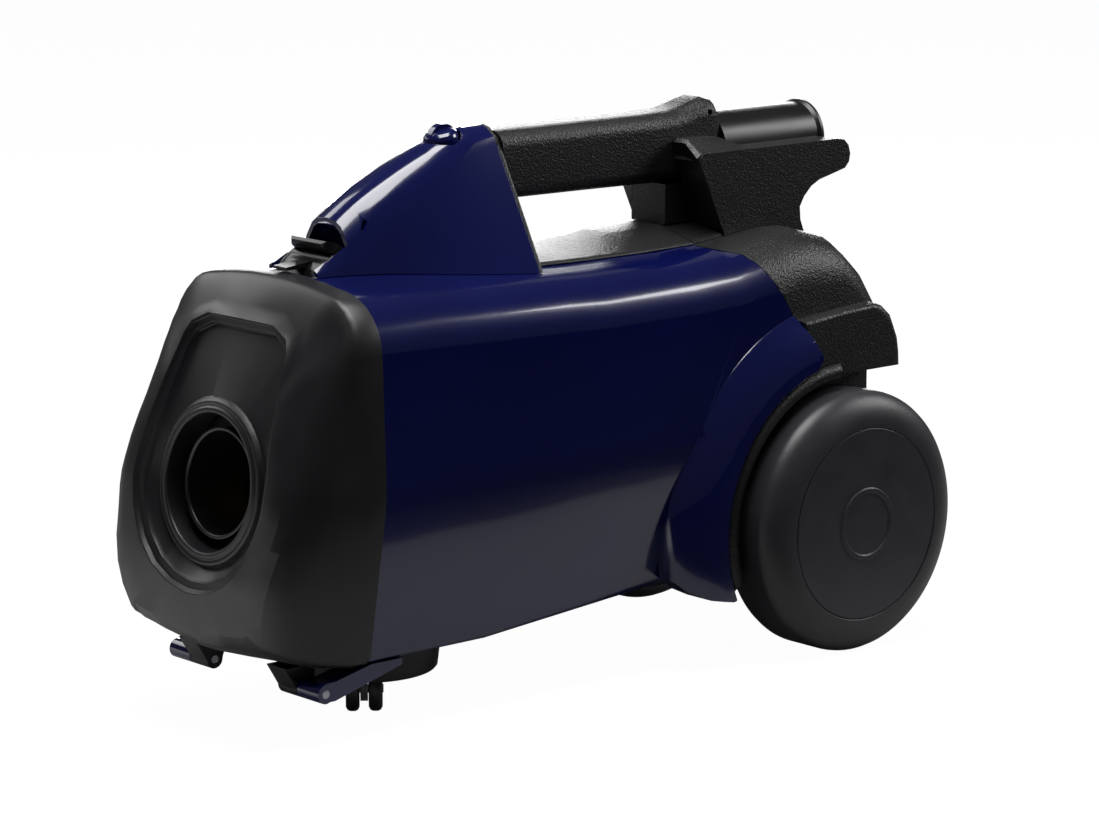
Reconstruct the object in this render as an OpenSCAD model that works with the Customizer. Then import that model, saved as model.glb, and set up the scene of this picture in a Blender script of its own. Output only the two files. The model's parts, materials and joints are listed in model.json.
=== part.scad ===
// Compact canister vacuum cleaner with a carry handle, two big rear wheels and one
// swivelling front caster. +Z is up, the front faces -Y, and X runs across.
// The origin is the middle of the footprint, on the floor. All sizes are millimetres.
// A "station" is a distance measured backwards from the rim of the hose port.

/* [Overall] */
// Station of the rear wheel axle
axle_back = 407; // [403:1:411]
// Radius of the rear wheels
wheel_r = 80; // [77:1:81]
// How far the front cover bulges ahead of the hose port
front_bulge = 14; // [12:1:16]

/* [Main housing] */
// Half width of the housing across its widest line
body_half_w = 87.5; // [86:0.5:89]
// Height of the crown of the housing at its front
body_top = 256.5; // [255:0.5:258]
// How far the top corners lie below the crown
crown = 9; // [7:0.5:10]
// Height of the underside at the front
body_bottom = 43; // [41:0.5:44]
// How far the underside has risen at the rear
bottom_rise = 12; // [9:1:14]
// How far the top corners sit inside the widest line
shoulder_in = 4; // [3:0.5:6]
// How far the bottom corners sit inside the widest line
sill_in = 16.5; // [14:0.5:18]
// Wall of the moulded shells
wall = 3; // [2.5:0.25:3.5]
// Station where the front cover meets the housing
part_line = 58; // [57:0.5:59]
// Gap left at the seams between mouldings
seam = 0.3; // [0.2:0.05:0.4]

/* [Wheels] */
// Half of the distance between the outer faces of the wheels
track_half = 115; // [114:0.5:117]
// Width of one wheel
wheel_w = 42; // [39:1:42]
// Reach of the rounded tread shoulder along the axle
shoulder = 13; // [11:1:18]
// Radius of the smooth disc in the middle of a wheel
disc_r = 58.3; // [50:0.1:60]
// Thickness of that disc
disc_t = 2.5; // [2:0.25:3]
// Radius of the steel axle
axle_r = 5; // [4:0.5:6]
// Running clearance between a wheel bush and the axle
run_gap = 0.08; // [0.04:0.01:0.1]
// Gap between the inner face of a wheel and the housing
wheel_gap = 6.3; // [5:0.1:8]
// Gap between the tread and the edge of the painted arch
arch_gap = 15.5; // [14:0.5:17]
// Gap between the tread and the black rim of the arch
rim_gap = 4; // [3:0.5:5]
// Half width of the flares outside the housing
flare_half_w = 96; // [94:0.5:98]

/* [Hose port] */
// Height of the port centre
port_z = 144; // [142:0.5:146]
// Backward lean of the port in degrees
port_tilt = 8; // [7:0.25:9]
// Radius of the recess in the cover
recess_r = 38.5; // [38:0.25:40]
// Depth of the recess
recess_depth = 20; // [18:0.5:22]
// Inner radius of the hose socket
socket_r = 29; // [27:0.5:30]
// Length of the hose socket
socket_len = 44; // [42:0.5:45]

/* [Handle] */
// Height of the top of the grip
grip_top = 325.5; // [323:0.5:327]
// Height of the underside of the grip
grip_bottom = 285; // [283:0.5:287]
// Half width of the grip
grip_half_w = 17; // [15:0.5:18]
// Station where the fairing ends and the grip comes out
tower_back = 200; // [198:0.5:202]
// Station of the rear end of the grip
grip_end = 376; // [374:0.5:378]

/* [Blower port] */
// Height of the blower tube axis
blower_z = 301.3; // [300:0.1:303]
// Outer radius of the blower tube
blower_r = 20.5; // [19.5:0.1:21]
// Bore radius of the blower tube
blower_bore = 18; // [16:0.1:18.5]
// Station of the end of the blower tube
blower_end = 459; // [452:1:465]

/* [Switch knob] */
// Station of the knob
knob_back = 170; // [167:0.5:173]
// Radius of the knob
knob_r = 10.5; // [9:0.25:11.5]
// Forward lean of the knob axis in degrees
knob_lean = 14; // [11:0.5:17]

/* [Motor] */
// Height of the motor axis
motor_z = 150; // [147:1:153]
// Radius of the fan housing
fan_r = 62; // [58:0.5:63]
// Radius of the motor frame
frame_r = 48.5; // [46:0.5:52]
// Radius of the armature
armature_r = 24; // [20:0.5:26]
// Radius of the motor shaft
shaft_r = 4; // [3:0.25:5]

/* [Caster] */
// Station of the caster's swivel axis
caster_back = 110; // [108:0.5:112]
// Offset of the rollers from the swivel axis
caster_trail = 24; // [20:0.5:25]
// Angle by which the caster stands turned towards the front
caster_turn = 38; // [30:1:60]
// Radius of the caster rollers
roller_r = 13; // [12:0.5:14]
// Width of one caster roller
roller_w = 8; // [7:0.5:9]

/* [Hinge and latch] */
// Station of the cover hinge
hinge_back = 28; // [27:0.25:29]
// Height of the cover hinge
hinge_z = 31.5; // [31:0.25:33]
// Radius of a hinge pin
hinge_pin_r = 2.5; // [2:0.25:3]
// Radius of the latch pin
latch_pin_r = 2; // [1.5:0.25:2.5]
// Half width of the latch lever
latch_half_w = 17.5; // [15:0.5:18]

/* [Hidden] */

blue = "#11184a";
black = "#2b2b2e";
grey = "#4a4a4e";
steel = "#b4b6ba";
rubber = "#1c1c1e";

arch_r = wheel_r + arch_gap;
well_r = wheel_r + rim_gap;
well_in = track_half - wheel_w - wheel_gap;

// Turns a station into the Y coordinate of the shared frame.
function st(d) = d - (axle_back + wheel_r - front_bulge) / 2;

// ---------------------------------------------------------------- outlines and skins
function unit(v) = v / norm(v);
function spun(v, q) = [v.x * cos(q) - v.y * sin(q), v.x * sin(q) + v.y * cos(q)];

// Points of the arc that rounds the corner b between a and c, in n steps.
function corner(a, b, c, r, n) =
    let (u = unit(a - b), v = unit(c - b), half = acos(u * v) / 2)
    let (centre = b + unit(u + v) * r / sin(half), first = b + u * r / tan(half) - centre)
    let (way = cross(u, v) > 0 ? -1 : 1)
    [for (i = [0 : n]) centre + spun(first, way * (180 - 2 * half) * i / n)];

// A closed outline with a radius and a number of steps at each corner.
function rounded(pts, radii, steps) =
    let (m = len(pts))
    [for (i = [0 : m - 1])
        each corner(pts[(i + m - 1) % m], pts[i], pts[(i + 1) % m], radii[i], steps[i])];

// Puts an outline drawn in X and Z at a station.
function at_station(pts, d) = [for (p = pts) [p.x, st(d), p.y]];
function flat(list) = [for (row = list) each row];

// A closed solid between an outer and an inner grid of points. Rows run along the
// skin. With wrap, each row is a closed ring.
module skin(outer, inner, wrap) {
    rows = len(outer);
    cols = len(outer[0]);
    half = rows * cols;
    last = wrap ? cols - 1 : cols - 2;
    sheet = [for (i = [0 : rows - 2], j = [0 : last])
        let (a = i * cols + j, b = i * cols + (j + 1) % cols)
        each [[a, b, b + cols], [a, b + cols, a + cols]]];
    back = [for (f = sheet) [f[0] + half, f[2] + half, f[1] + half]];
    front_rim = [for (j = [0 : last])
        let (a = j, b = (j + 1) % cols)
        each [[b, a, a + half], [b, a + half, b + half]]];
    top = (rows - 1) * cols;
    back_rim = [for (j = [0 : last])
        let (a = top + j, b = top + (j + 1) % cols)
        each [[a, b, b + half], [a, b + half, a + half]]];
    sides = wrap ? [] : [for (i = [0 : rows - 2])
        let (a = i * cols, b = a + cols - 1)
        each [[a, a + cols, a + cols + half], [a, a + cols + half, a + half],
              [b + cols, b, b + half], [b + cols, b + half, b + cols + half]]];
    polyhedron(concat(flat(outer), flat(inner)),
        concat(sheet, back, front_rim, back_rim, sides));
}

// A closed solid through a list of rings, with a fan over each end.
module loft(rings) {
    rows = len(rings);
    cols = len(rings[0]);
    ends = rows * cols;
    first = [for (k = [0 : 2]) [for (p = rings[0]) p[k]] * [for (p = rings[0]) 1] / cols];
    final = [for (k = [0 : 2])
        [for (p = rings[rows - 1]) p[k]] * [for (p = rings[rows - 1]) 1] / cols];
    sheet = [for (i = [0 : rows - 2], j = [0 : cols - 1])
        let (a = i * cols + j, b = i * cols + (j + 1) % cols)
        each [[a, b, b + cols], [a, b + cols, a + cols]]];
    fans = [for (j = [0 : cols - 1])
        let (b = (j + 1) % cols)
        each [[b, j, ends], [ends - cols + j, ends - cols + b, ends + 1]]];
    polyhedron(concat(flat(rings), [first, final]), concat(sheet, fans));
}

// A side profile, drawn in stations and heights, made into a slab from x1 to x2.
module slab(pts, x1, x2) {
    translate([x1, 0, 0])
        rotate([90, 0, 90])
            linear_extrude(x2 - x1)
                polygon([for (p = pts) [st(p.x), p.y]]);
}

// A shape turned about an axis along Y, through x = 0 at height z, from profile points
// of radius and station.
module turned_y(pts, z, fn) {
    translate([0, 0, z])
        rotate([-90, 0, 0])
            rotate_extrude($fn = fn)
                polygon([for (p = pts) [p.x, st(p.y)]]);
}

// A shape turned about the wheel axle, from profile points of radius and x.
module turned_axle(pts, side, fn) {
    translate([0, st(axle_back), wheel_r])
        rotate([0, side * 90, 0])
            rotate_extrude($fn = fn)
                polygon(pts);
}

module rod_x(x1, x2, d, z, r) {
    translate([x1, st(d), z])
        rotate([0, 90, 0])
            cylinder(h = x2 - x1, r = r, $fn = 32);
}

module rod_y(d1, d2, x, z, r) {
    translate([x, st(d1), z])
        rotate([-90, 0, 0])
            cylinder(h = d2 - d1, r = r, $fn = 48);
}

module block(x1, x2, d1, d2, z1, z2) {
    translate([x1, st(d1), z1])
        cube([x2 - x1, d2 - d1, z2 - z1]);
}

// ---------------------------------------------------------------- housing form
rear_bend = 428;
rear_face = axle_back + 67;
mid_z = 140;
top_radius = 33;
sill_radius = 8;

// How much the sides have drawn in at a station near the rear.
function draw_in(d) = d < rear_bend ? (d - part_line) * 0.01 :
    3.7 + 30 * (1 - sqrt(max(0, 1 - pow((d - rear_bend) / (rear_face + 1 - rear_bend), 2))));

// Height of the crown at a station: a shallow dip, then down the sloping back.
function top_at(d) = body_top + lookup(d, [
    [part_line, 0], [tower_back, -4.5], [230, -5.2], [300, -5.2], [335, -4], [365, -2],
    [rear_face - 90, -0.5], [rear_face - 72, -1.2], [rear_face - 54, -6.5],
    [rear_face - 34, -24.5], [rear_face - 20, -41], [rear_face - 9, -59],
    [rear_face - 3, -75], [rear_face, -90.5]]);
function crown_at(d) = lookup(d, [[330, crown], [rear_face - 90, crown / 3], [rear_face, 2]]);

// Half width of the rounded middle of the crown, and the slope beside it.
function crown_half(d) = 0.45 * (body_half_w - draw_in(d) - shoulder_in);
function crown_slope(d) = atan(0.58 * crown_at(d) / crown_half(d));

// Height of the housing's top surface at x.
function skin_z(x, d) =
    let (a = crown_slope(d), r = crown_half(d) / tan(a), side = r * sin(a))
    top_at(d) - (abs(x) < side ? r - sqrt(r * r - x * x) :
        r * (1 - cos(a)) + (abs(x) - side) * tan(a));
function bottom_at(d) = body_bottom + bottom_rise * max(0, min(1, (d - 145) / 155));

// The housing's outline in X and Z at a station, set in by e.
function housing_outline(d, e = 0) =
    let (w = body_half_w - draw_in(d) - e, top = top_at(d) - e, low = bottom_at(d) + e)
    let (mid = min(mid_z, low + 0.55 * (top - low)))
    let (r = min(lookup(d, [[402, top_radius], [432, 24]]) - e, (top - mid) * 0.6))
    let (fall = crown_at(d), round = crown_half(d) / tan(crown_slope(d)))
    rounded(
        [[w - shoulder_in, top - fall], [0, top + 0.29 * fall], [shoulder_in - w, top - fall],
         [-w, mid], [sill_in - w, low], [w - sill_in, low], [w, mid]],
        [r, round, r, 90, max(1.5, sill_radius - e), max(1.5, sill_radius - e), 90],
        [6, 4, 6, 2, 3, 3, 2]);
function housing_ring(d, e = 0) = at_station(housing_outline(d, e), d);

// The line between the painted housing and the black rear housing, seen from the side.
border = [
    [331, 248.8], [338, 246.8], [347, 244.6], [353, 239], [362, 226], [371, 213],
    [383, 192], [388, 181], [384, 175.3], [380, 172]];

// Everything behind and above that line, moved back by a gap.
module black_region(gap) {
    slab(concat(
        [[border[0].x + gap, 400]],
        [for (p = border) [p.x + gap, p.y + gap]],
        [[axle_back, wheel_r], [axle_back - 92 + gap, 30], [axle_back - 92 + gap, -20],
         [600, -20], [600, 400]]), -150, 150);
}

module wheel_wells(r) {
    for (side = [-1, 1]) {
        turned_axle([[0, well_in], [r, well_in], [r, 140], [0, 140]], side, 96);
    }
}

module main_housing() {
    stations = [58.3, 100, 145, 200, 230, 300, 335, 365, 390];
    edge = arch_r + 0.5;
    color(blue) {
        difference() {
            union() {
                skin([for (d = stations) housing_ring(d)],
                     [for (d = stations) housing_ring(d, wall)], true);
                // Flares round the wheels.
                intersection() {
                    for (side = [-1, 1]) {
                        turned_axle([[arch_r, 72], [arch_r, flare_half_w - 1.5],
                            [edge + 1, flare_half_w], [edge + 10, flare_half_w - 0.5],
                            [edge + 18, flare_half_w - 3], [edge + 26, flare_half_w - 7],
                            [edge + 33, flare_half_w - 12], [edge + 36, flare_half_w - 16],
                            [edge + 36, 72]], side, 96);
                    }
                    slab([[axle_back - 150, 75], [axle_back - 150, 140],
                        [axle_back - 90, 215], [axle_back - 30, 215], [axle_back + 1, 150],
                        [axle_back - 77, 52], [axle_back - 83, 44.5], [axle_back - 92, 42.5],
                        [axle_back - 108, 45.5], [axle_back - 122, 52],
                        [axle_back - 132, 61]], -120, 120);
                }
                // Lip that the cover gasket closes against.
                face_lip();
            }
            black_region(0);
            wheel_wells(arch_r);
            // Passage for the latch and its spring.
            block(-19, 19, 60, 90, body_top - 9, body_top + 2);
        }
    }
}

module face_lip() {
    d = part_line + seam;
    difference() {
        translate([0, st(d) + 2, 0])
            rotate([90, 0, 0])
                linear_extrude(2)
                    difference() {
                        polygon(housing_outline(d, wall - 0.5));
                        polygon(housing_outline(d, wall + 7));
                    }
    }
}

// ---------------------------------------------------------------- handle tower
tower_base = body_top + seam;
function tower_top(d) = lookup(d, [
    [62, 264], [72, 272.5], [85, 284.3], [98, 293], [111, 301], [131, 310.4], [151, 318.6],
    [166, 324], [184, 328.5], [tower_back, 328.5]]);
function crease_z(d) = lookup(d, [
    [62, 258], [81, 261], [100, 269.5], [121, 285.5], [153, 302], [173, 312],
    [tower_back, 319]]);
function crease_x(d) = lookup(d, [[62, 22], [121, 22], [153, 20.5], [tower_back, 14]]);
function base_x(d) = lookup(d, [
    [62, 23], [84, 23.5], [106, 27], [144, 40], [175, 48.5], [tower_back, 53]]);

// One side of the section from the base up to the middle, set in by e.
function tower_half(d, e) =
    let (b = base_x(d) - e, c = [crease_x(d) - e, crease_z(d) - e / 2], t = tower_top(d) - e)
    let (foot = [b, skin_z(b, d) + seam])
    [foot, (c + foot) / 2, c, (c + [c.x * 0.6, t - 4]) / 2 + [0.9, 0.7],
     [c.x * 0.6, t - 4], [c.x * 0.36, t - 1.2]];
function tower_ring(d, e) =
    let (right = tower_half(d, e), n = len(right))
    at_station(concat(right, [[0, tower_top(d) - e]],
        [for (i = [n - 1 : -1 : 0]) [-right[i].x, right[i].y]]), d);

// Places a child on the knob's leaning axis, at the crown of the fairing.
module on_knob_axis() {
    translate([0, st(knob_back), tower_top(knob_back) - 1.9])
        rotate([knob_lean, 0, 0])
            children();
}

module front_fairing() {
    stations = [62, 72, 85, 98, 111, 131, 151, 166, 184, tower_back];
    color(blue)
        difference() {
            union() {
                difference() {
                    skin([for (d = stations) tower_ring(d, 0)],
                         [for (d = stations) tower_ring(d, wall - 0.4)], false);
                    // Opening for the latch.
                    block(-latch_half_w - 1.6, latch_half_w + 1.6, 50, 86, 250, 300);
                }
                // Hollowed front wall that makes room for a thumb behind the latch.
                intersection() {
                    slab([[82.5, 284], [88, 278.5], [91, 272], [91.2, 265], [89.8, tower_base],
                        [92.6, tower_base], [94, 265], [93.8, 273], [91, 281], [86, 288]],
                        -30, 30);
                    loft([for (d = [72, 85, 98, 111]) tower_ring(d, wall - 0.7)]);
                }
            }
            // Seat of the switch knob.
            on_knob_axis()
                translate([0, 0, -12])
                    cylinder(h = 30, r = knob_r + 1.2, $fn = 48);
            // Slots in the flanks.
            for (side = [-1, 1]) {
                translate([side * 21, st(99), 281])
                    rotate([-30, 0, 0])
                        cube([12, 2.4, 6.5], center = true);
            }
        }
}

// The section of the fairing's rear end as a flat outline.
function tower_end(e) = [for (p = tower_ring(tower_back, e)) [p.x, p.z]];

module fairing_end_panel() {
    color(black)
        translate([0, st(tower_back + 2.6), 0])
            rotate([90, 0, 0])
                linear_extrude(2.3)
                    difference() {
                        polygon(tower_end(0));
                        polygon(housing_outline(tower_back, -seam));
                    }
}

// ---------------------------------------------------------------- rear mouldings
plate_half_w = 41;
function plate_top(d) = lookup(d, [
    [203, 253], [247, 252.6], [282, 255.6], [290, 257.2], [319, 258.3], [363, 258]]);

// Outer and lower points of the raised plate across a station.
function plate_outer(d) =
    let (w = plate_half_w, t = plate_top(d), edge = skin_z(w - 2, d) + seam + 1.7)
    let (half = [[w, skin_z(w, d) + seam + 0.8], [w - 2, edge], [25, (t + edge) / 2 + 0.3],
        [12, t - 0.1]])
    at_station(concat(half, [[0, t]], [for (k = [3 : -1 : 0]) [-half[k].x, half[k].y]]), d);
function plate_inner(d, lift) =
    [for (p = plate_outer(d)) [p.x, p.y, skin_z(p.x, d) + lift]];

module top_plate() {
    stations = [tower_back + 3, 247, 265, 282, 290, 319, border[0].x];
    color(black)
        skin([for (d = stations) plate_outer(d)],
             [for (d = stations) plate_inner(d, seam)], false);
}

fender_out = 89.5;
fender_floor = wheel_r * 2 + 8;

// Outline of the fender over a wheel at x, seen from the side, set in by t.
function fender_ring(x, f, t) =
    let (c = [axle_back + 12, fender_floor + 6])
    [for (p = [[-30, 0], [-30, 36], [-22, 36.5], [5, 39], [31, 40.5], [38, 38.5], [45.5, 32],
            [48.5, 25.5], [52, 17.5], [53.6, 8], [54, 0], [50, -12], [-25, -12]])
        let (v = [p.x + axle_back, p.y + fender_floor] - c, q = c + v * (f - t / norm(v)))
        [x, st(q.x), q.y]];

module fender(side, t) {
    rings = [[55, 1], [fender_out - 6, 1], [fender_out - 2, 0.98], [fender_out - 0.6, 0.95],
        [fender_out, 0.9]];
    list = side > 0 ? rings : [for (k = [4 : -1 : 0]) rings[k]];
    loft([for (r = list) fender_ring(side * (r[0] - (r[0] > 60 ? t : 0)), r[1], t)]);
}

// The room beside and behind the lower housing, between the wheels, with a wall left.
module low_cut(t) {
    for (side = [-1, 1]) {
        translate([0, 0, -20])
            linear_extrude(20 + fender_floor + t)
                polygon([for (p = [[150, axle_back], [well_in - t, axle_back],
                    [well_in - t, rear_face - 20 - 0.4 * t],
                    [well_in - 10.7 - 0.75 * t, rear_face - 10 - 0.75 * t],
                    [well_in - 26.7 - 0.4 * t, rear_face + 0.5 - t],
                    [well_in - 26.7 - 0.4 * t, 600], [150, 600]]) [side * p.x, st(p.y)]]);
    }
}

module rear_housing() {
    first = border[0].x + seam;
    stations = [first, 347, 365, 384, 402, 411, 420, 430, 440, 454, 465, 471, rear_face];
    inner = [first - 0.8, 347, 365, 384, 400, 409, 417, 427, 437, 451, 462, 468, rear_face - wall];
    color(black)
        difference() {
            union() {
                difference() {
                    loft([for (d = stations) housing_ring(d)]);
                    low_cut(0);
                }
                for (side = [-1, 1]) {
                    difference() {
                        fender(side, 0);
                        low_cut(0);
                    }
                }
                skin([for (d = [first, 345, 355]) plate_outer(d)],
                     [for (d = [first, 345, 355]) plate_inner(d, -1)], false);
            }
            difference() {
                union() {
                    loft([for (d = inner) housing_ring(d, wall)]);
                    for (side = [-1, 1]) {
                        fender(side, wall);
                    }
                }
                low_cut(wall);
            }
            difference() {
                translate([-150, st(300), -20])
                    cube([300, 150, 440]);
                black_region(seam);
            }
            difference() {
                wheel_wells(arch_r);
                translate([-150, st(axle_back), -20])
                    cube([300, 200, 300]);
            }
            // Holes for the axle bushes.
            rod_x(-150, 150, axle_back, wheel_r, bush_r + 0.3);
            // Opening for the exhaust grille.
            block(-grille_half_w, grille_half_w, rear_face - 12, rear_face + 5,
                grille_low, grille_high);
            // Hole for the cord gland.
            rod_y(rear_face - 12, rear_face + 12, gland_x, gland_z, gland_r + 0.2);
            // Passage of the blower duct.
            translate([0, st(duct_back), 150])
                cylinder(h = 150, r = duct_r + 0.3, $fn = 48);
        }
}

bush_r = 11;
grille_half_w = 36;
grille_low = 78;
grille_high = 128;
gland_x = -30;
gland_z = 146;
gland_r = 7;
duct_back = 397;
duct_r = 17.5;
block_half_w = 40;

// Side outline of the raised shoulders beside the grip, at x.
function shoulder_ring(x, rise) = [for (p = [[339, -7], [336, rise - 2], [338.5, rise],
    [364, rise * 0.9], [379, -0.6], [379, -7]]) [x, st(p.x), 302.7 + p.y]];

module cord_wrap_block() {
    back = 416.5;
    w = block_half_w;
    low = grip_bottom - 2;
    color(black)
        difference() {
            union() {
                slab([[362, 243], [back + 13, 232], [back + 12, 243.5], [back + 8, 248.4],
                    [back + 5, 255.7], [back + 4.4, 263.7], [back + 8, 269.7],
                    [back + 14, 275.5], [back + 21, 278.9], [back + 31, 281.2],
                    [back + 43, 284.1], [back + 46.4, 287.7], [back + 47.4, 292.7],
                    [back + 45.8, 298.1], [back + 42, 301.7], [back + 36, 302.7],
                    [341.5, 302.7], [338.5, 301.3], [337.1, 298.3]], -w, w);
                loft([for (r = [[1.5 - w, -0.5], [-28, 7.8], [28, 7.8], [w - 1.5, -0.5]])
                    shoulder_ring(r[0], r[1])]);
                block(-15, 15, 332, 364, plate_top(340) + seam, low - seam);
            }
            // Slot for the rear end of the grip.
            block(-grip_half_w - 0.4, grip_half_w + 0.4, 300, grip_end + 0.6, low, 400);
            rod_y(grip_end + 0.3, 500, 0, blower_z, blower_r + 0.2);
            rod_y(blower_end - 5, 500, 0, blower_z, blower_r + 1.9);
            translate([0, st(duct_back), 150])
                cylinder(h = 150, r = duct_r + 0.3, $fn = 48);
            // Hollow inside the moulding.
            difference() {
                slab([[344.5, 299.6], [366.5, 260], [409, 260], [414, 257], [416.5, 264.7],
                    [420, 271.2], [428.5, 278.2], [445.5, 285.2], [456.5, 288.2],
                    [459.5, 291.7], [456.5, 298.1], [450.5, 299.6]], wall - w, w - wall);
                block(-grip_half_w - 3.2, grip_half_w + 3.2, 300, 500, 278, 400);
                block(-30, 30, grip_end - 2, grip_end + 4, 250, 400);
                rod_y(370, 500, 0, blower_z, blower_r + 3);
                rod_y(blower_end - 8, 500, 0, blower_z, blower_r + 4.7);
                translate([0, st(duct_back), 150])
                    cylinder(h = 150, r = duct_r + 3, $fn = 48);
            }
            // The base follows the crown of the housing.
            loft([for (d = [340, 347, 365, 384, 402, 411, 420, 430, 440])
                at_station(housing_outline(d, -seam), d)]);
        }
}

// Half height and middle height of the grip at a station.
function grip_high(d) = grip_top + lookup(d, [
    [319, 0], [341, 0.8], [352, 2.8], [360, 5.2], [367, 6.8], [grip_end - 4, 5.6],
    [grip_end, 1]]);
function grip_low(d) = grip_bottom - lookup(d, [[219, 0], [338, 1.5], [grip_end, 1.5]]);
function grip_ring(d, e, f = 1) =
    let (w = (grip_half_w - e) * f, t = grip_high(d) - e, b = grip_low(d) + e)
    at_station(rounded([[w, t], [-w, t], [-w, b], [w, b]],
        [10 - e, 10 - e, 8 - e, 8 - e], [4, 4, 4, 4]), d);

module handle_grip() {
    first = tower_back + 2.9;
    color(black)
        difference() {
            loft([for (d = [first, 270, 319, 341, 352, 360, 367, grip_end - 4, grip_end])
                grip_ring(d, 0, d == grip_end ? 0.9 : 1)]);
            loft([for (d = [first - 1, 270, 319, 341, 352, 360, 367]) grip_ring(d, wall)]);
            rod_x(-30, 30, grip_end - 9, grip_top - 2, 1.7);
        }
}

module blower_tube() {
    color(black)
        difference() {
            turned_y([[0, grip_end + 0.8], [blower_r, grip_end + 0.8], [blower_r, blower_end - 4],
                [blower_r + 1.6, blower_end - 2], [blower_r + 1.6, blower_end],
                [blower_bore + 0.8, blower_end], [blower_bore, blower_end - 1],
                [blower_bore, grip_end + 3.5], [0, grip_end + 3.5]], blower_z, 72);
            translate([0, st(duct_back + 10), blower_z - 30])
                cylinder(h = 30, r = 9, $fn = 36);
        }
}

module exhaust_duct() {
    color(black)
        difference() {
            translate([0, st(duct_back), 205])
                cylinder(h = blower_z - 205, r = duct_r, $fn = 48);
            translate([0, st(duct_back), 204])
                cylinder(h = blower_z - 203, r = duct_r - 2, $fn = 48);
            rod_y(375, 420, 0, blower_z, blower_r + 0.2);
        }
}

// ---------------------------------------------------------------- front cover
cover_edge = 46;
cover_wall = 3;

// Setback of the cover's face, down the middle, by height.
function face_at(z) = lookup(z, [
    [50, 1 - front_bulge], [62, -front_bulge], [95, -front_bulge], [120, 3.6 - front_bulge],
    [143, 7.2 - front_bulge], [170, 14.2 - front_bulge], [198, 24.5 - front_bulge],
    [229, 37.5 - front_bulge], [252, 43 - front_bulge]]);

port_centre = [0, port_z];
inset_r = 61;

// Rim of the inset panel: a round bottom, straight sides and cut top corners.
inset_rim = concat(
    [[36, port_z + 90], [-36, port_z + 90], [-46, port_z + 82]],
    [for (q = [168 : 16.8 : 372]) port_centre + inset_r * [cos(q), sin(q)]],
    [[46, port_z + 82]]);

// Distance from the port centre to a closed rim in the direction v.
function reach(v, rim) = max([for (i = [0 : len(rim) - 1])
    let (a = rim[i] - port_centre, b = rim[(i + 1) % len(rim)] - port_centre, e = b - a)
    let (den = cross(v, e))
    let (t = abs(den) < 1e-9 ? -1 : cross(a, e) / den, s = abs(den) < 1e-9 ? -1 : cross(a, v) / den)
    (t > 0 && s >= -1e-6 && s <= 1 + 1e-6) ? t : 0]);

// Depth of the rounding from the cover's edge inwards, and how full it is, by direction.
function round_in(v) = lookup(atan2(v.y, abs(v.x)), [[-90, 17], [-72, 22], [-56, 30], [-45, 18],
    [-35, 14], [-15, 16], [0, 20], [15, 24], [35, 36], [51, 50], [63, 46], [75, 36], [90, 28]]);
function fullness(v) = lookup(atan2(v.y, abs(v.x)), [[-90, 2], [-72, 1.8], [-56, 1.55],
    [-45, 2.1], [-35, 2.5], [-15, 2.4], [0, 2.2], [15, 2.1], [35, 1.8], [51, 1.5], [75, 1.55],
    [90, 1.6]]);

cover_corners = housing_outline(part_line, -0.6);

// The rim of the cover, with extra points along its long sides.
cover_rim = let (m = len(cover_corners)) [for (i = [0 : m - 1])
    let (a = cover_corners[i], b = cover_corners[(i + 1) % m])
    let (n = max(1, round(norm(b - a) / 15)))
    each [for (k = [0 : n - 1]) a + (b - a) * k / n]];

// A point of the cover on the line from the port centre to rim point p, a distance q
// inside the rim, pushed back by the extra depth.
function cover_point(p, q, extra = 0) =
    let (v = unit(p - port_centre), full = norm(p - port_centre))
    let (at = port_centre + v * (full - q), r = round_in(v), m = fullness(v))
    let (f = face_at(at.y), k = max(0, 1 - q / r))
    [at.x, st(f + (cover_edge - f) * (1 - pow(max(0, 1 - pow(k, m)), 1 / m)) + extra), at.y];

// A point at distance r from the port centre towards rim point p. Its depth is measured
// from the port's leaning plane.
function port_point(p, r, depth) =
    let (at = port_centre + unit(p - port_centre) * r)
    [at.x, st(depth + (at.y - port_z) * tan(port_tilt)), at.y];

// A point at a distance inside the inset panel's rim, below the face by a depth.
function inset_point(p, inside, depth) =
    let (v = unit(p - port_centre), r = reach(v, inset_rim) - inside, at = port_centre + v * r)
    [at.x, st(face_at(at.y) + depth), at.y];

function cover_rows(t) = concat(
    [for (row = [[t, recess_depth - t * 0.1], [t, 1.4 + t], [t + 1, t * 0.8], [t + 3, t * 0.9],
            [4.5, 1.4 + t], [6, 0.6 + t], [7.5, 1.2 + t], [9, 4 + t]])
        [for (p = cover_rim) port_point(p, recess_r + row[0], row[1])]],
    [for (row = [[7, 6.5 + t], [5.6, 3.6 + t], [1.4, 3 + t], [0, t]])
        [for (p = cover_rim) inset_point(p, row[0], row[1])]],
    [for (k = [0.88, 0.7, 0.5, 0.32, 0.17, 0.06])
        [for (p = cover_rim) let (v = unit(p - port_centre), full = norm(p - port_centre))
            let (room = full - reach(v, inset_rim) - 1)
            cover_point([p.x, p.y] - v * t, max(0.6, (room - t) * k), t * k)]]);

module front_cover() {
    outer_edge = [for (p = cover_rim) [p.x, st(cover_edge), p.y]];
    inner_rim = [for (p = cover_rim) p - unit(p - port_centre) * cover_wall];
    inner_edge = [for (p = inner_rim) [p.x, st(cover_edge), p.y]];
    color(grey)
        union() {
            skin(concat(cover_rows(0), [outer_edge], [[for (p = cover_rim) [p.x, st(part_line), p.y]]]),
                 concat(cover_rows(cover_wall), [inner_edge],
                     [[for (p = inner_rim) [p.x, st(part_line), p.y]]]), true);
            // Ears that carry the hinge pins.
            for (side = [-1, 1]) {
                hinge_ear(side);
            }
        }
}

ear_in = 33;
ear_out = 50;
barrel_out = 70;

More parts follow.
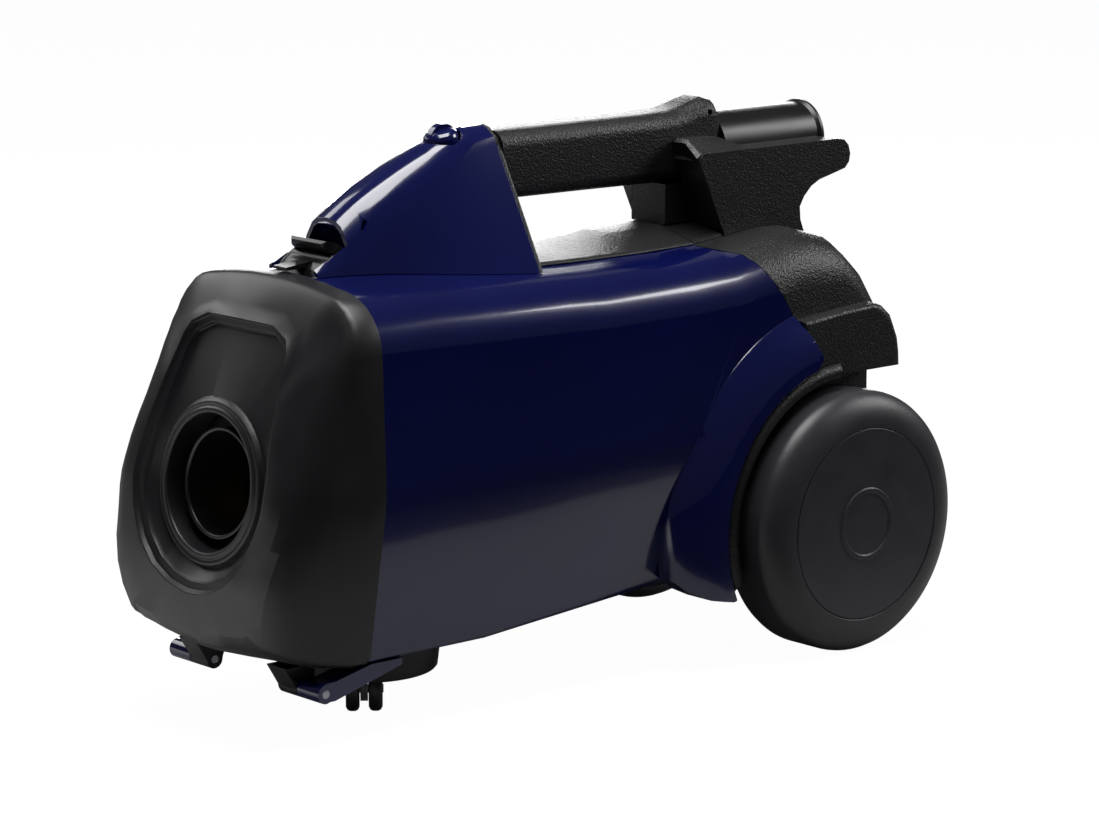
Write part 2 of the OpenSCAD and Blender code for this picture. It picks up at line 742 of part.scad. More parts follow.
module hinge_ear(side) {
    r = hinge_pin_r + 3;
    x1 = side > 0 ? ear_in : -ear_out;
    x2 = side > 0 ? ear_out : -ear_in;
    difference() {
        union() {
            rod_x(x1, x2, hinge_back, hinge_z, r);
            slab([[hinge_back - r, hinge_z], [hinge_back + r, hinge_z],
                [hinge_back + r + 4, body_bottom + 1.4], [hinge_back - r - 8, body_bottom + 1.4]],
                x1, x2);
        }
        rod_x(x1 - 1, x2 + 1, hinge_back, hinge_z, hinge_pin_r + run_gap);
    }
}

module hinge_lugs() {
    r = hinge_pin_r + 3;
    color(blue)
        for (side = [-1, 1]) {
            x1 = side > 0 ? ear_out + 0.6 : -barrel_out;
            x2 = side > 0 ? barrel_out : -ear_out - 0.6;
            difference() {
                union() {
                    rod_x(x1, x2, hinge_back, hinge_z, r);
                    slab([[hinge_back, hinge_z - r], [hinge_back + 8, hinge_z - r],
                        [part_line + 26, body_bottom - 4], [part_line + 26, body_bottom - seam],
                        [part_line + 4, body_bottom - seam], [hinge_back + 8, hinge_z + r],
                        [hinge_back, hinge_z + r]],
                        side > 0 ? x1 : -68, side > 0 ? 68 : x2);
                }
                rod_x(x1 - 1, x2 + 1, hinge_back, hinge_z, hinge_pin_r + 0.03);
            }
        }
}

module hinge_pins() {
    color(steel)
        for (side = [-1, 1]) {
            rod_x(side > 0 ? ear_in : -barrel_out, side > 0 ? barrel_out : -ear_in,
                hinge_back, hinge_z, hinge_pin_r);
        }
}

module cover_gasket() {
    color(rubber)
        translate([0, st(part_line), 0])
            rotate([90, 0, 0])
                linear_extrude(4)
                    difference() {
                        polygon(housing_outline(part_line, wall + 0.7));
                        polygon(housing_outline(part_line, wall + 5));
                    }
}

// Places a child on the hose axis, with local +Z running back into the machine.
module on_port_axis() {
    translate([0, st(0), port_z])
        rotate([-90 - port_tilt, 0, 0])
            children();
}

socket_front = 8;
module inlet_tube() {
    out = socket_r + 2.5;
    end = socket_front + socket_len;
    color(black)
        on_port_axis()
            rotate_extrude($fn = 72)
                polygon([[socket_r, socket_front + 1], [socket_r + 0.8, socket_front],
                    [out, socket_front], [out, recess_depth + seam],
                    [recess_r + 2.6, recess_depth + seam], [recess_r + 2.6, recess_depth + 3.3],
                    [out, recess_depth + 3.3], [out, end], [socket_r, end]]);
}

module inlet_seal() {
    end = socket_front + socket_len;
    color(rubber)
        on_port_axis()
            rotate_extrude($fn = 72)
                polygon([[socket_r - 3, end], [socket_r + 4, end], [socket_r + 4, end + 3],
                    [socket_r - 3, end + 3]]);
}

// ---------------------------------------------------------------- latch
latch_back = 78;
latch_z = body_top + 5.5;
module latch_lever() {
    w = latch_half_w;
    color(black)
        difference() {
            union() {
                rod_x(-w, w, latch_back, latch_z, 4.5);
                // Thumb paddle, and the curved front below it.
                intersection() {
                    slab([[latch_back - 4.4, latch_z + 12.2], [latch_back - 6.4, latch_z + 10.8],
                        [latch_back - 5.6, latch_z + 8], [latch_back + 0.5, latch_z + 3.5],
                        [latch_back + 5.5, latch_z + 1.6], [latch_back + 8.5, latch_z + 3.8],
                        [latch_back + 6.5, latch_z + 7.5], [latch_back + 1.5, latch_z + 10.8]],
                        -w, w);
                    translate([0, 0, latch_z])
                        linear_extrude(20)
                            polygon([for (q = rounded([[w, latch_back - 7], [-w, latch_back - 7],
                                [-w, latch_back + 12], [w, latch_back + 12]], [7, 7, 2, 2],
                                [5, 5, 2, 2])) [q.x, st(q.y)]]);
                }
                slab([[latch_back, latch_z - 3], [latch_back - 8, latch_z - 5],
                    [latch_back - 12, latch_z - 7.4], [latch_back - 13.4, latch_z - 7.4],
                    [latch_back - 11, latch_z - 3.6], [latch_back - 7.4, latch_z - 0.6],
                    [latch_back - 3, latch_z + 2.6], [latch_back + 2, latch_z + 4.4]], -w, w);
                // Arm over the cover's edge and arm over the spring.
                slab([[latch_back, latch_z - 3.3], [latch_back - 25, latch_z - 3.3],
                    [latch_back - 25, latch_z - 1.6], [latch_back, latch_z + 1]], -6, 6);
                slab([[latch_back, latch_z - 4.4], [latch_back + 11, latch_z - 4.4],
                    [latch_back + 11, latch_z - 1.5], [latch_back, latch_z + 3]], -8, 8);
            }
            rod_x(-w - 1, w + 1, latch_back, latch_z, latch_pin_r + run_gap);
        }
}

module latch_pin() {
    color(steel)
        rod_x(-latch_half_w - 1.3, latch_half_w + 1.3, latch_back, latch_z, latch_pin_r);
}

latch_floor = body_top - wall - 2.4;
module latch_housing() {
    x = latch_half_w + 0.3;
    color(black)
        difference() {
            union() {
                block(-22, 22, part_line + 3, 93, latch_floor - 2, latch_floor);
                for (side = [-1, 1]) {
                    slab([[62, latch_floor - 1], [89, latch_floor - 1], [89, latch_z + 1],
                        [84, latch_z + 4], [76, latch_z + 4], [69, latch_z - 1],
                        [64, latch_z - 7]],
                        side > 0 ? x : -x - 1, side > 0 ? x + 1 : -x);
                }
            }
            rod_x(-30, 30, latch_back, latch_z, latch_pin_r + 0.03);
        }
}

// Compression spring under the rear arm of the lever, as one unbroken coil.
spring_turns = 4;
module latch_spring() {
    wire = 0.45;
    base = latch_floor + wire + 0.05;
    rise = (latch_z - 4.45 - base - wire) / spring_turns;
    n = spring_turns * 8;
    rings = [for (i = [0 : n])
        let (q = i * 45, c = [3.2 * cos(q), st(latch_back + 7) + 3.2 * sin(q), base + rise * i / 8])
        [for (k = [0 : 5]) c + wire * (cos(k * 60) * [cos(q), sin(q), 0] + [0, 0, sin(k * 60)])]];
    color(steel)
        loft([for (i = [n : -1 : 0]) rings[i]]);
}

// ---------------------------------------------------------------- dust bag
module bag_bracket() {
    d = 65.1;
    color(grey)
        translate([0, st(d + 2.5), 0])
            rotate([90, 0, 0])
                linear_extrude(2.5)
                    difference() {
                        intersection() {
                            polygon(housing_outline(d + 2.5, wall + 0.4));
                            translate([-100, 100])
                                square([200, 84]);
                        }
                        translate([0, 135])
                            circle(r = 37, $fn = 72);
                    }
}

module bag_collar() {
    color("#b89a6a")
        on_port_axis()
            difference() {
                union() {
                    translate([-48, -46, 57])
                        cube([96, 88, 2]);
                    translate([0, 0, 57])
                        cylinder(h = 13, r = 29, $fn = 72);
                }
                translate([0, 0, 50])
                    cylinder(h = 30, r = 27, $fn = 72);
            }
}

function bag_ring(d, w, low, high) =
    at_station(rounded([[w, high], [-w, high], [-w, low], [w, low]],
        [min(w, (high - low) / 2) * 0.62, min(w, (high - low) / 2) * 0.62,
         min(w, (high - low) / 2) * 0.5, min(w, (high - low) / 2) * 0.5], [6, 6, 6, 6]), d);

bag_w = body_half_w - 16;
bag_form = [[74, bag_w * 0.5, 98, 174], [82, bag_w * 0.82, 66, 208], [100, bag_w * 0.97, 54, 230],
    [150, bag_w, 53, 236], [196, bag_w * 0.97, 57, 234], [214, bag_w * 0.83, 68, 220],
    [222, bag_w * 0.55, 92, 196]];
module dust_bag() {
    color("#c9b48a")
        difference() {
            loft([for (b = bag_form) bag_ring(b[0], b[1], b[2], b[3])]);
            loft([for (i = [1 : 5]) let (b = bag_form[i])
                bag_ring(b[0] - (i - 3) * 0.8, b[1] - 3, b[2] + 3, b[3] - 3)]);
        }
}

// ---------------------------------------------------------------- motor
module bulkhead() {
    d = 240;
    color(grey)
        difference() {
            translate([0, st(d + 3), 0])
                rotate([90, 0, 0])
                    linear_extrude(3)
                        polygon(housing_outline(d + 3, wall + 0.4));
            rod_y(d - 1, d + 4, 0, motor_z, 50);
        }
}

module filter_grille() {
    color(black)
        difference() {
            rod_y(236.5, 239.7, 0, motor_z, 60);
            for (i = [-4 : 4]) {
                if (i != 0) {
                    block(i * 11 - 3.5, i * 11 + 3.5, 230, 245,
                        motor_z - sqrt(54 * 54 - pow(abs(i) * 11 + 3.5, 2)),
                        motor_z + sqrt(54 * 54 - pow(abs(i) * 11 + 3.5, 2)));
                }
            }
        }
}

module motor_filter() {
    color("#3c3c40")
        rod_y(226.5, 236.2, 0, motor_z, 57);
}

module motor_front_gasket() {
    color(rubber)
        turned_y([[50, 243], [60, 243], [60, 248], [50, 248]], motor_z, 72);
}

module fan_housing() {
    color(steel)
        turned_y([[20, 248], [fan_r, 248], [fan_r, 286], [fan_r - 2, 286], [fan_r - 2, 250],
            [20, 250]], motor_z, 96);
}

module impeller() {
    color("#c8cacd")
        union() {
            turned_y([[shaft_r, 252], [9, 252], [10, 264], [fan_r - 8, 264],
                [fan_r - 8, 265.5], [shaft_r, 265.5]], motor_z, 96);
            turned_y([[22, 253.2], [fan_r - 8, 256], [fan_r - 8, 257.2], [22, 254.6]], motor_z, 96);
            translate([0, st(256), motor_z])
                rotate([-90, 0, 0])
                    for (k = [0 : 8]) {
                        rotate([0, 0, k * 40])
                            translate([20, 0, 0])
                                rotate([0, 0, -32])
                                    cube([33, 1.2, 8.2]);
                    }
        }
}

module diffuser() {
    color("#d8d8d4")
        union() {
            turned_y([[14, 268], [fan_r - 2.2, 268], [fan_r - 2.2, 270], [14, 270]], motor_z, 96);
            translate([0, st(270), motor_z])
                rotate([-90, 0, 0])
                    for (k = [0 : 11]) {
                        rotate([0, 0, k * 30])
                            translate([26, 0, 0])
                                rotate([0, 0, 28])
                                    cube([29, 1.2, 15.8]);
                    }
        }
}

module motor_frame() {
    inner = frame_r - 2.5;
    color(steel)
        difference() {
            turned_y([[10.3, 286.3], [fan_r, 286.3], [fan_r, 288.5], [frame_r, 288.5],
                [frame_r, 370], [8.3, 370], [8.3, 367], [inner, 367], [inner, 288.5],
                [10.3, 288.5]], motor_z, 96);
            for (k = [0 : 3]) {
                translate([0, st(345), motor_z])
                    rotate([0, 45 + 90 * k, 0])
                        translate([-17, 0, 0])
                            cube([34, 18, 80]);
            }
        }
}

module field_core() {
    color("#8a8d92")
        difference() {
            turned_y([[armature_r + 0.8, 300], [frame_r - 2.8, 300], [frame_r - 2.8, 340],
                [armature_r + 0.8, 340]], motor_z, 96);
            for (side = [-1, 1]) {
                block(-9, 9, 299, 341, motor_z + side * 33 - 4.5, motor_z + side * 33 + 4.5);
            }
        }
}

module field_coils() {
    color("#9a5a2c")
        for (d = [290, 340.3]) {
            turned_y([[armature_r + 4, d], [armature_r + 16, d], [armature_r + 16, d + 9.7],
                [armature_r + 4, d + 9.7]], motor_z, 72);
        }
}

module armature() {
    color("#7d8085")
        difference() {
            turned_y([[shaft_r, 300], [armature_r, 300], [armature_r, 340], [shaft_r, 340]],
                motor_z, 96);
            translate([0, st(299), motor_z])
                rotate([-90, 0, 0])
                    for (k = [0 : 11]) {
                        rotate([0, 0, k * 30])
                            translate([armature_r - 6, -1.2, 0])
                                cube([8, 2.4, 42]);
                    }
        }
}

module commutator() {
    color("#b06a3a")
        turned_y([[shaft_r, 345], [12, 345], [12, 362], [shaft_r, 362]], motor_z, 72);
}

module motor_shaft() {
    color(steel)
        rod_y(250.5, 376, 0, motor_z, shaft_r);
}

module motor_bearings() {
    color("#9fa2a6")
        for (b = [[281.5, 288.5, 10.3], [364, 372, 8.3]]) {
            turned_y([[shaft_r + run_gap, b[0]], [b[2], b[0]], [b[2], b[1]],
                [shaft_r + run_gap, b[1]]], motor_z, 72);
        }
}

module brush_holders() {
    color("#5a4a3a")
        for (side = [-1, 1]) {
            difference() {
                block(side > 0 ? 15 : 15 - frame_r, side > 0 ? frame_r - 15 : -15,
                    350.6, 360.6, motor_z - 6, motor_z + 6);
                block(-60, 60, 352.3, 358.7, motor_z - 4, motor_z + 4);
            }
        }
}

module carbon_brushes() {
    color("#2a2a2c")
        for (side = [-1, 1]) {
            block(side > 0 ? 12.3 : -31, side > 0 ? 31 : -12.3, 352.5, 358.5,
                motor_z - 3.8, motor_z + 3.8);
        }
}

// Upright plate behind the motor, with the rubber-bushed hole that carries its rear end.
module motor_support() {
    d = 370.3;
    x = well_in - 0.5;
    color(grey)
        difference() {
            translate([0, st(d + 3), 0])
                rotate([90, 0, 0])
                    linear_extrude(3)
                        polygon([[x - 4, bottom_at(d) + wall + 0.3], [x, 75], [x, 130],
                            [34, motor_z + 36], [-34, motor_z + 36], [-x, 130],
                            [-x, 75], [4 - x, bottom_at(d) + wall + 0.3]]);
            rod_y(d - 1, d + 4, 0, motor_z, 8.5);
        }
}

// ---------------------------------------------------------------- switch
module switch_knob() {
    color(blue)
        on_knob_axis()
            union() {
                rotate_extrude($fn = 64)
                    polygon([[0, -32], [3, -32], [3, -4], [knob_r, -4], [knob_r, 0],
                        [knob_r - 0.7, 2.2], [knob_r - 2.4, 3.8], [knob_r - 5, 4.7], [0, 5]]);
                intersection() {
                    translate([-2.2, 0, -2.4])
                        rotate([0, 90, 0])
                            cylinder(h = 4.4, r = knob_r, $fn = 64);
                    translate([-5, -20, -3.5])
                        cube([10, 40, 20]);
                }
            }
}

module switch_body() {
    color(black)
        on_knob_axis()
            difference() {
                translate([-11, -14, -46])
                    cube([22, 28, 21]);
                translate([0, 0, -33])
                    cylinder(h = 10, r = 3 + run_gap, $fn = 32);
            }
}

module switch_bracket() {
    color(grey)
        intersection() {
            on_knob_axis()
                difference() {
                    translate([-40, -17, -24.7])
                        cube([80, 34, 2]);
                    translate([0, 0, -26])
                        cylinder(h = 5, r = 5, $fn = 32);
                }
            loft([for (d = [131, 151, 166, 184, tower_back]) tower_ring(d, wall - 0.3)]);
        }
}

// ---------------------------------------------------------------- wheels
function wheel_profile() =
    let (t = 3, x_out = track_half, x_in = track_half - wheel_w, bore = axle_r + run_gap)
    let (seat = track_half - disc_t, lip = disc_r + 0.3)
    concat(
        [[bore, x_in + 7], [bore, seat - 3], [bore + 5.4, seat - 3], [bore + 5.4, seat],
         [lip, seat], [lip, x_out - 0.4]],
        [for (q = [0 : 11.25 : 90]) [lip + 0.8 + (wheel_r - lip - 0.8) * sin(q),
            x_out - shoulder * (1 - cos(q))]],
        [[wheel_r, x_in + 5], [wheel_r - 1.4, x_in + 1.5], [wheel_r - 5, x_in],
         [wheel_r - 7, x_in], [wheel_r - 7, x_in + 2.5], [wheel_r - t - 1, x_in + 5]],
        [for (q = [90 : -22.5 : 0]) [lip + (wheel_r - t - lip) * sin(q),
            seat - t - (shoulder - 5) * (1 - cos(q))]],
        [[bore + 8, seat - t], [bore + 8, x_in + 7]]);

module rear_wheel(side) {
    color(rubber)
        turned_axle(wheel_profile(), side, 96);
}
module rear_wheel_left() {
    rear_wheel(1);
}
module rear_wheel_right() {
    rear_wheel(-1);
}

module hub_disc(side) {
    x = track_half;
    color(grey)
        turned_axle([[0, x - disc_t], [disc_r, x - disc_t], [disc_r, x - 0.4],
            [disc_r - 0.5, x], [22.4, x], [21.6, x + 0.8], [19.6, x + 0.8], [18.8, x], [0, x]],
            side, 96);
}
module hub_disc_left() {
    hub_disc(1);
}
module hub_disc_right() {
    hub_disc(-1);
}

module axle_caps() {
    x = track_half - disc_t;
    color(steel)
        for (side = [-1, 1]) {
            turned_axle([[axle_r, x - 2.6], [axle_r + 4, x - 2.6], [axle_r + 4, x - 1],
                [axle_r, x - 1]], side, 48);
        }
}

module rear_axle() {
    x = track_half - disc_t - 0.6;
    color(steel)
        rod_x(-x, x, axle_back, wheel_r, axle_r);
}

module arch_liner(side) {
    bore = axle_r + 0.05;
    rim = arch_r - seam;
    lip = flare_half_w - 4;
    hub = track_half - wheel_w + wheel_gap + 0.4;
    disc = well_in + seam;
    color(black)
        intersection() {
            turned_axle([[bore, disc - 12], [bush_r, disc - 12], [bush_r, disc], [rim, disc],
                [rim, disc + 2.5], [well_r + 2.5, disc + 2.5], [well_r + 2.5, lip - 2.5],
                [rim, lip - 2.5], [rim, lip], [well_r + 2, lip], [well_r, lip - 2],
                [well_r, disc + 2.5], [bush_r, disc + 2.5], [bush_r, hub], [bore, hub]],
                side, 96);
            slab([[axle_back - wheel_r - 30, wheel_r - 35], [axle_back - wheel_r - 30, 190],
                [axle_back - seam, 2 * wheel_r + 30], [axle_back - seam, 2 * wheel_r - 3],
                [axle_back + 25, 2 * wheel_r - 9], [axle_back + 44, wheel_r + 45],
                [axle_back + 45, wheel_r - 18], [axle_back - wheel_r + 2, wheel_r - 26],
                [axle_back - wheel_r - 12, wheel_r - 35]],
                -120, 120);
        }
}
module arch_liner_left() {
    arch_liner(1);
}
module arch_liner_right() {
    arch_liner(-1);
}

// ---------------------------------------------------------------- rear fittings
module exhaust_grille() {
    w = grille_half_w - seam;
    color(black)
        difference() {
            block(-w, w, rear_face - 4, rear_face, grille_low + seam, grille_high - seam);
            for (i = [0 : 6]) {
                block(-w + 5, w - 5, rear_face - 6, rear_face + 1,
                    grille_low + 5 + i * 6, grille_low + 8.4 + i * 6);
            }
        }
}

module exhaust_filter() {
    color("#d9d6c8")
        block(-grille_half_w + 1, grille_half_w - 1, rear_face - 16, rear_face - 4.2,
            grille_low + 1, grille_high - 1);
}

module cord_gland() {
    color(rubber)
        translate([gland_x, st(rear_face), gland_z])
            rotate([-90, 0, 0])
                rotate_extrude($fn = 48)
                    polygon([[4, -8], [gland_r + 2.5, -8], [gland_r + 2.5, -wall - 0.3],
                        [gland_r, -wall - 0.3], [gland_r, 0.6], [gland_r + 2, 0.6],
                        [gland_r + 2, 3.4], [gland_r - 0.5, 5], [4, 5]]);
}

// ---------------------------------------------------------------- caster
leg_half = 2.2;

// Places a child on the swivel axis, with local X along the trail.
module on_caster() {
    translate([0, st(caster_back), 0])
        rotate([0, 0, -caster_turn])
            children();
}

module caster_bowl() {
    top = body_bottom - seam;
    color(black)
        translate([0, st(caster_back), 0])
            rotate_extrude($fn = 96)
                polygon([[6 + run_gap, top], [40, top], [44.5, top - 3], [44.3, top - 10],
                    [43, 22], [41.5, 20.4], [40.4, 22], [41.6, top - 8], [39.4, top - 3.6],
                    [11, top - 3.6], [11, top - 6], [6 + run_gap, top - 6]]);
}

module caster_fork() {
    top = body_bottom - seam;
    color(grey)
        on_caster()
            difference() {
                union() {
                    rotate_extrude($fn = 72)
                        polygon([[0, top - 10], [36, top - 10], [36, top - 6.6], [6, top - 6.6],
                            [6, top - 0.6], [0, top - 0.6]]);
                    translate([caster_trail - 9, -leg_half, roller_r - 5])
                        cube([18, 2 * leg_half, top - 4 - roller_r]);
                }
                translate([caster_trail, -10, roller_r])
                    rotate([-90, 0, 0])
                        cylinder(h = 20, r = 2.5, $fn = 32);
            }
}

module caster_axle() {
    color(steel)
        on_caster()
            translate([caster_trail, -leg_half - roller_w - 1, roller_r])
                rotate([-90, 0, 0])
                    cylinder(h = 2 * (leg_half + roller_w + 1), r = 2.5, $fn = 32);
}

module caster_roller(side) {
    mid = side * (leg_half + 0.4 + roller_w / 2);
    color(rubber)
        on_caster()
            translate([caster_trail, mid - roller_w / 2, roller_r])
                rotate([-90, 0, 0])
                    rotate_extrude($fn = 72)
                        polygon([[2.5 + run_gap, 0], [roller_r - 2.5, 0], [roller_r - 0.7, 1],
                            [roller_r, 2.6], [roller_r, roller_w - 2.6],
                            [roller_r - 0.7, roller_w - 1], [roller_r - 2.5, roller_w],
                            [2.5 + run_gap, roller_w]]);
}
module caster_roller_front() {
    caster_roller(-1);
}
module caster_roller_rear() {
    caster_roller(1);
}

// ---------------------------------------------------------------- screws
// Pan-head screws under the housing.
module housing_screws() {
    color(steel)
        for (side = [-1, 1], d = [340, 440]) {
            translate([side * 50, st(d), bottom_at(d) - 2.55])
                union() {
                    cylinder(h = 2.3, r = 4, $fn = 32);
                    translate([0, 0, 2.2])
                        cylinder(h = 0.2, r = 2, $fn = 32);
                }
        }
}

main_housing();
front_fairing();
fairing_end_panel();
top_plate();
rear_housing();
cord_wrap_block();
handle_grip();
blower_tube();
exhaust_duct();
front_cover();
cover_gasket();
inlet_tube();
inlet_seal();
hinge_pins();
hinge_lugs();
latch_lever();
latch_spring();
latch_pin();
latch_housing();
bag_bracket();
bag_collar();
dust_bag();
bulkhead();
filter_grille();
motor_filter();
motor_front_gasket();
fan_housing();
impeller();
diffuser();
field_core();
field_coils();
armature();
commutator();
motor_shaft();
motor_bearings();
motor_frame();
brush_holders();
carbon_brushes();
motor_support();
switch_knob();
switch_body();
switch_bracket();
arch_liner_left();
arch_liner_right();
rear_axle();
rear_wheel_left();
rear_wheel_right();
hub_disc_left();
hub_disc_right();
axle_caps();
exhaust_grille();
exhaust_filter();
cord_gland();
caster_bowl();
caster_fork();
caster_axle();
caster_roller_front();
caster_roller_rear();
housing_screws();
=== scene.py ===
import json
import math

import bmesh
import bpy
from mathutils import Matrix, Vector


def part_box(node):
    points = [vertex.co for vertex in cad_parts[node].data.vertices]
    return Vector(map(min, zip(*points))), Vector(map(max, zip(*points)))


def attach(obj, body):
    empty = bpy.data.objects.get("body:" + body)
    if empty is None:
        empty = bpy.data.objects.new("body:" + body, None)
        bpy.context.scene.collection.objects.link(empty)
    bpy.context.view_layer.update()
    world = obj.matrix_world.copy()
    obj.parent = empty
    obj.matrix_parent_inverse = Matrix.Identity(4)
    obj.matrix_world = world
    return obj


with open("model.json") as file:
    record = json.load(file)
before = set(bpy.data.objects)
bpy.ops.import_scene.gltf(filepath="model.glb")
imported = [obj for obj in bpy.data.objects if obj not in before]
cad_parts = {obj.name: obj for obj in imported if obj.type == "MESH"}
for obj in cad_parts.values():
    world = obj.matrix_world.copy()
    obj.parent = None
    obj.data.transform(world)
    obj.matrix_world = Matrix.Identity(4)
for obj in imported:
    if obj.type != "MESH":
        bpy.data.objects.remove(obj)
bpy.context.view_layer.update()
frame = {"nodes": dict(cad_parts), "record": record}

bl_info = {
    "name": "Canister vacuum cleaner looks",
    "version": (1, 0, 0),
    "blender": (4, 5, 0),
    "location": "View3D > Sidebar > Vacuum",
    "description": "Finishes, small parts and studio for a compact canister vacuum cleaner",
    "category": "Object",
}

NODES = frame["nodes"]

# Angles past which an edge is rounded, or keeps its crease.
ROUND_ANGLE = math.radians(38.0)
CREASE_ANGLE = math.radians(42.0)
# Nodes too fine for rounded edges.
FINE_NODES = ("latch_spring", "dust_bag", "impeller", "diffuser")
# Where the arch lips begin, counted from the rear, and how short they stop of the liner's end.
LIP_START = math.radians(92.0)
LIP_END_GAP = math.radians(2.5)
# The floor card's edge beside the object, and where it brightens in front of it.
CARD_EDGE = (0.24, 0.247)
CARD_FRONT = (-0.22, -0.3)


# ------------------------------------------------------------------ sizes and colours
class VacuumFinish(bpy.types.PropertyGroup):
    """Colours of the mouldings and the size of their texture."""

    navy: bpy.props.StringProperty(
        name="Navy", description="Colour of the painted shell and fairing", default="#080E42"
    )
    black: bpy.props.StringProperty(
        name="Black", description="Colour of the textured black mouldings", default="#121214"
    )
    smooth_black: bpy.props.StringProperty(
        name="Smooth black", description="Colour of the smooth black mouldings", default="#0E0E10"
    )
    satin_black: bpy.props.StringProperty(
        name="Satin black", description="Colour of the front cover", default="#141317"
    )
    tread: bpy.props.StringProperty(
        name="Tread", description="Colour of the wheel tread", default="#2B2B2F"
    )
    hub: bpy.props.StringProperty(
        name="Hub", description="Colour of the smooth wheel discs", default="#2E2D33"
    )
    grain: bpy.props.FloatProperty(
        name="Texture grain",
        description="Distance between the pebbles of the black mouldings",
        default=0.0011,
        min=0.0003,
        max=0.003,
        unit="LENGTH",
    )
    edge: bpy.props.FloatProperty(
        name="Edge radius",
        description="Small rounding on the moulded edges",
        default=0.0005,
        min=0.0001,
        max=0.002,
        unit="LENGTH",
    )
    lip_height: bpy.props.FloatProperty(
        name="Lip height",
        description="Height of the rounded lip round each wheel arch",
        default=0.0036,
        min=0.001,
        max=0.0038,
        unit="LENGTH",
    )


class VacuumStudio(bpy.types.PropertyGroup):
    """Camera and light of the studio."""

    azimuth: bpy.props.FloatProperty(
        name="Azimuth",
        description="Angle of the camera round the object",
        default=math.radians(48.93),
        subtype="ANGLE",
    )
    elevation: bpy.props.FloatProperty(
        name="Elevation",
        description="Angle of the camera above the floor",
        default=math.radians(11.09),
        subtype="ANGLE",
    )
    distance: bpy.props.FloatProperty(
        name="Distance",
        description="Distance from the camera to the point that it looks at",
        default=2.03268,
        unit="LENGTH",
    )
    aim: bpy.props.FloatVectorProperty(
        name="Aim",
        description="Point that the camera looks at",
        default=(0.29034, -0.2365, 0.22801),
        subtype="TRANSLATION",
    )
    lens: bpy.props.FloatProperty(
        name="Lens", description="Focal length in millimetres", default=133.22, min=20.0, max=400.0
    )
    floor: bpy.props.StringProperty(
        name="Floor", description="Colour of the floor and backdrop", default="#FFFFFF"
    )


# ------------------------------------------------------------------ node helper
def linear(text):
    """An sRGB hex colour as linear red, green, blue and 1."""
    parts = [int(text[i : i + 2], 16) / 255 for i in (1, 3, 5)]
    return [p / 12.92 if p <= 0.04045 else ((p + 0.055) / 1.055) ** 2.4 for p in parts] + [1.0]


def add(tree, kind, settings=None, inputs=None):
    """Adds a node. Inputs hold plain values or the sockets to link from."""
    node = tree.nodes.new(kind)
    for name, value in (settings or {}).items():
        setattr(node, name, value)
    for name, value in (inputs or {}).items():
        socket = node.inputs[name]
        if isinstance(value, bpy.types.NodeSocket):
            tree.links.new(value, socket)
        else:
            socket.default_value = value
    return node


def new_material(name):
    """An empty material with its tree, its output and object coordinates."""
    material = bpy.data.materials.new(name)
    material.use_nodes = True
    tree = material.node_tree
    tree.nodes.clear()
    output = add(tree, "ShaderNodeOutputMaterial")
    coords = add(tree, "ShaderNodeTexCoord").outputs["Object"]
    return material, tree, output, coords


def ramp(tree, source, stops):
    """A colour ramp over a source, from (place, linear colour) stops."""
    node = add(tree, "ShaderNodeValToRGB", inputs={"Fac": source})
    elements = node.color_ramp.elements
    while len(elements) < len(stops):
        elements.new(0.5)
    for element, (place, colour) in zip(elements, stops):
        element.position = place
        element.color = colour
    return node


def shade(colour, factor):
    """A linear colour made darker or lighter."""
    return [c * factor for c in colour[:3]] + [1.0]


# ------------------------------------------------------------------ materials
def gloss_navy_abs(look):
    """Navy ABS moulded against a polished tool: deep, glossy, with a faint orange peel."""
    material, tree, output, coords = new_material("gloss_navy_abs")
    navy = linear(look.navy)
    cloud = add(
        tree, "ShaderNodeTexNoise", inputs={"Vector": coords, "Scale": 14.0, "Detail": 3.0}
    )
    tint = ramp(
        tree, cloud.outputs["Fac"], [(0.35, shade(navy, 0.92)), (0.65, shade(navy, 1.08))]
    )
    # Orange peel about 2.5 mm across, which gives soft wavering reflections.
    peel = add(
        tree, "ShaderNodeTexNoise", inputs={"Vector": coords, "Scale": 400.0, "Detail": 1.0}
    )
    bump = add(
        tree,
        "ShaderNodeBump",
        inputs={"Strength": 0.03, "Distance": 0.0003, "Height": peel.outputs["Fac"]},
    )
    shader = add(
        tree,
        "ShaderNodeBsdfPrincipled",
        inputs={
            "Base Color": tint.outputs["Color"],
            "Roughness": 0.16,
            "IOR": 1.5,
            "Coat Weight": 0.6,
            "Coat Roughness": 0.03,
            "Normal": bump.outputs["Normal"],
        },
    )
    tree.links.new(shader.outputs[0], output.inputs["Surface"])
    return material


